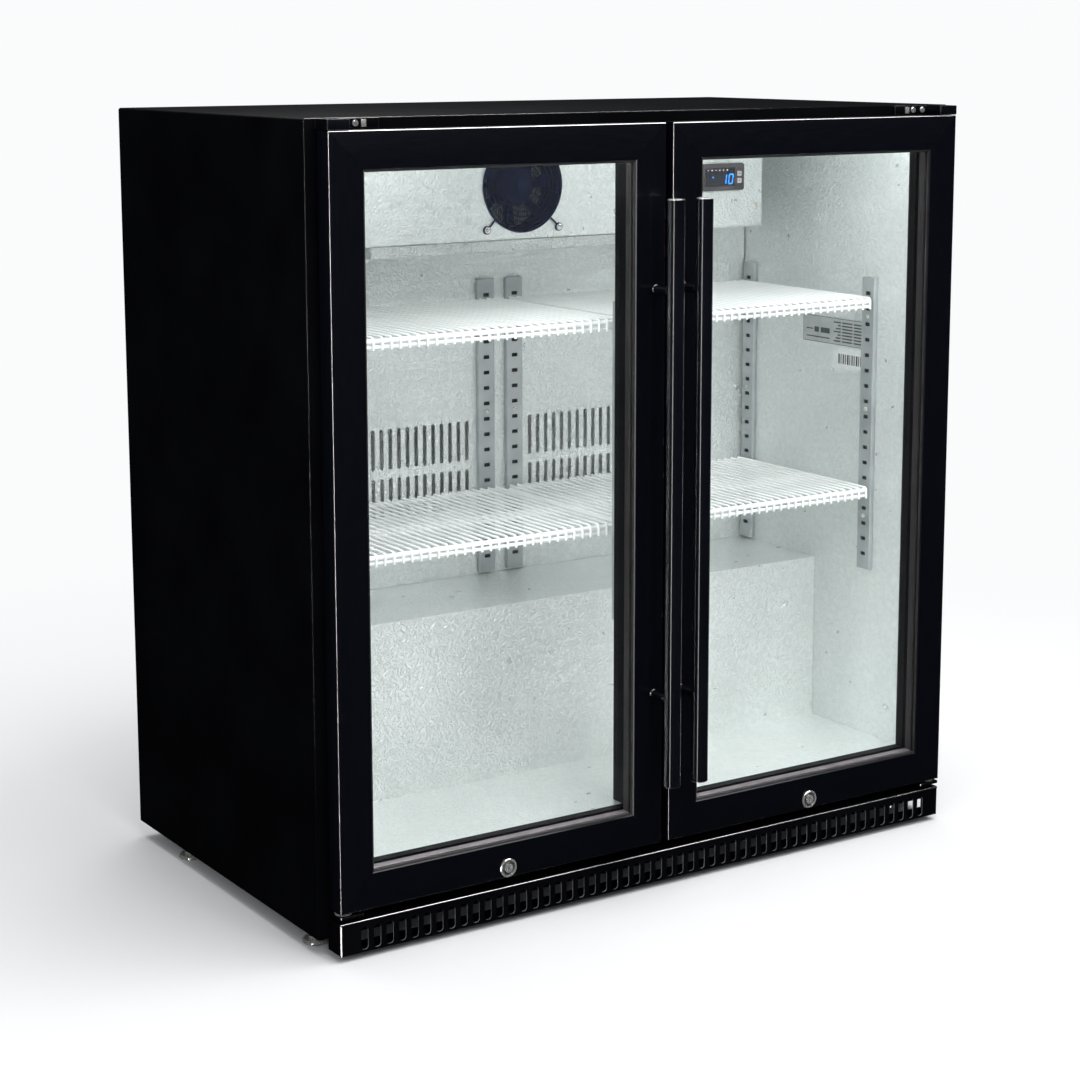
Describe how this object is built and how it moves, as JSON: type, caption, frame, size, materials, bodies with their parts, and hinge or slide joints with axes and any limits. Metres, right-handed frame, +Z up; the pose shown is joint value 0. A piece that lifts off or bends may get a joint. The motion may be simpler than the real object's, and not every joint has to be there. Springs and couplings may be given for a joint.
{
  "type": "under counter bottle fridge",
  "caption": "Under counter bottle fridge with two hinged glass doors, bar handles, locks, wire shelves and a slotted kick grille.",
  "frame": {"origin": "centre of the overall footprint, handles and rear cable gland included, at floor level under the feet", "axes": "+X to the right seen from the front, the doors face -Y, +Z up"},
  "size_m": [0.9, 0.576, 0.92],
  "materials": {
    "black_case": "satin black powder coat",
    "galvanised": "galvanised",
    "foam": "rigid foam",
    "embossed_liner": "stucco embossed",
    "black_plastic": "matt",
    "white_plastic": "satin",
    "white_wire": "white plastic coating on steel wire",
    "black_steel": "gloss black paint",
    "condenser": "black painted tube and fins",
    "rubber": "matt",
    "chrome": "polished",
    "door_frame": "black anodised",
    "glass": "clear",
    "spacer": "satin",
    "handle": "black anodised"
  },
  "bodies": {
    "cabinet": {"base_plate": "galvanised", "cabinet_face_frame": "black_case", "cable_gland": "rubber", "centre_mullion": "black_case", "compressor": "black_steel", "condenser_coil": "condenser", "condenser_fan_frame": "galvanised", "controller": "black_plastic", "drip_tray": "white_plastic", "evaporator_coil": "embossed_liner", "evaporator_cover": "embossed_liner", "evaporator_fan_frame": "black_plastic", "evaporator_fan_guard": "black_plastic", "foam_insulation": "foam", "foot_front_left": "chrome", "foot_front_right": "chrome", "foot_rear_left": "chrome", "foot_rear_right": "chrome", "kick_grille": "black_case", "left_hinge_bottom": "galvanised", "left_hinge_top": "black_case", "liner_floor_and_hump": "embossed_liner", "liner_walls": "embossed_liner", "machine_room_cover": "galvanised", "outer_case": "black_case", "rear_duct_panel": "embossed_liner", "rear_panel": "galvanised", "right_hinge_bottom": "galvanised", "right_hinge_top": "black_case", "shelf_strip_centre_front": "galvanised", "shelf_strip_centre_rear_left": "galvanised", "shelf_strip_centre_rear_right": "galvanised", "shelf_strip_left_front": "galvanised", "shelf_strip_left_rear": "galvanised", "shelf_strip_right_front": "galvanised", "shelf_strip_right_rear": "galvanised"},
    "left_door": {"left_door_frame": "door_frame", "left_door_gasket": "rubber", "left_door_glass_spacer": "spacer", "left_door_handle": "handle", "left_door_inner_pane": "glass", "left_door_lock_sleeve": "chrome", "left_door_outer_pane": "glass"},
    "right_door": {"right_door_frame": "door_frame", "right_door_gasket": "rubber", "right_door_glass_spacer": "spacer", "right_door_handle": "handle", "right_door_inner_pane": "glass", "right_door_lock_sleeve": "chrome", "right_door_outer_pane": "glass"},
    "left_lock": {"left_door_lock_barrel": "chrome"},
    "right_lock": {"right_door_lock_barrel": "chrome"},
    "evaporator_fan": {"evaporator_fan_blades": "black_plastic"},
    "condenser_fan": {"condenser_fan_blades": "galvanised"},
    "button_up": {"controller_button_up": "white_plastic"},
    "button_down": {"controller_button_down": "white_plastic"},
    "lower_left_shelf": {"lower_shelf_left": "white_wire"},
    "lower_right_shelf": {"lower_shelf_right": "white_wire"},
    "upper_left_shelf": {"upper_shelf_left": "white_wire"},
    "upper_right_shelf": {"upper_shelf_right": "white_wire"}
  },
  "joints": [
    {"name": "left_door_hinge", "type": "hinge", "parent": "cabinet", "child": "left_door", "pos_m": [-0.428, -0.225, 0.482], "axis": [0, 0, -1], "range_deg": [0, 105]},
    {"name": "right_door_hinge", "type": "hinge", "parent": "cabinet", "child": "right_door", "pos_m": [0.428, -0.225, 0.482], "axis": [0, 0, 1], "range_deg": [0, 105]},
    {"name": "left_lock_turn", "type": "hinge", "parent": "left_door", "child": "left_lock", "pos_m": [-0.2215, -0.227, 0.068], "axis": [0, 1, 0], "range_deg": [0, 90]},
    {"name": "right_lock_turn", "type": "hinge", "parent": "right_door", "child": "right_lock", "pos_m": [0.2215, -0.227, 0.068], "axis": [0, -1, 0], "range_deg": [0, 90]},
    {"name": "evaporator_fan_spin", "type": "hinge", "parent": "cabinet", "child": "evaporator_fan", "pos_m": [-0.03, 0.0475, 0.824], "axis": [0, 1, 0], "continuous": true},
    {"name": "condenser_fan_spin", "type": "hinge", "parent": "cabinet", "child": "condenser_fan", "pos_m": [-0.28, 0.083, 0.114], "axis": [0, 1, 0], "continuous": true},
    {"name": "button_up_press", "type": "slide", "parent": "cabinet", "child": "button_up", "axis": [0, 1, 0], "range_m": [0, 0.0008], "stiffness_N_per_m": 300, "springref_m": -0.0005},
    {"name": "button_down_press", "type": "slide", "parent": "cabinet", "child": "button_down", "axis": [0, 1, 0], "range_m": [0, 0.0008], "stiffness_N_per_m": 300, "springref_m": -0.0005},
    {"name": "lower_left_shelf_lift", "type": "slide", "parent": "cabinet", "child": "lower_left_shelf", "axis": [0, 0, 1], "range_m": [0, 0.015]},
    {"name": "lower_right_shelf_lift", "type": "slide", "parent": "cabinet", "child": "lower_right_shelf", "axis": [0, 0, 1], "range_m": [0, 0.015]},
    {"name": "upper_left_shelf_lift", "type": "slide", "parent": "cabinet", "child": "upper_left_shelf", "axis": [0, 0, 1], "range_m": [0, 0.015]},
    {"name": "upper_right_shelf_lift", "type": "slide", "parent": "cabinet", "child": "upper_right_shelf", "axis": [0, 0, 1], "range_m": [0, 0.015]}
  ]
}
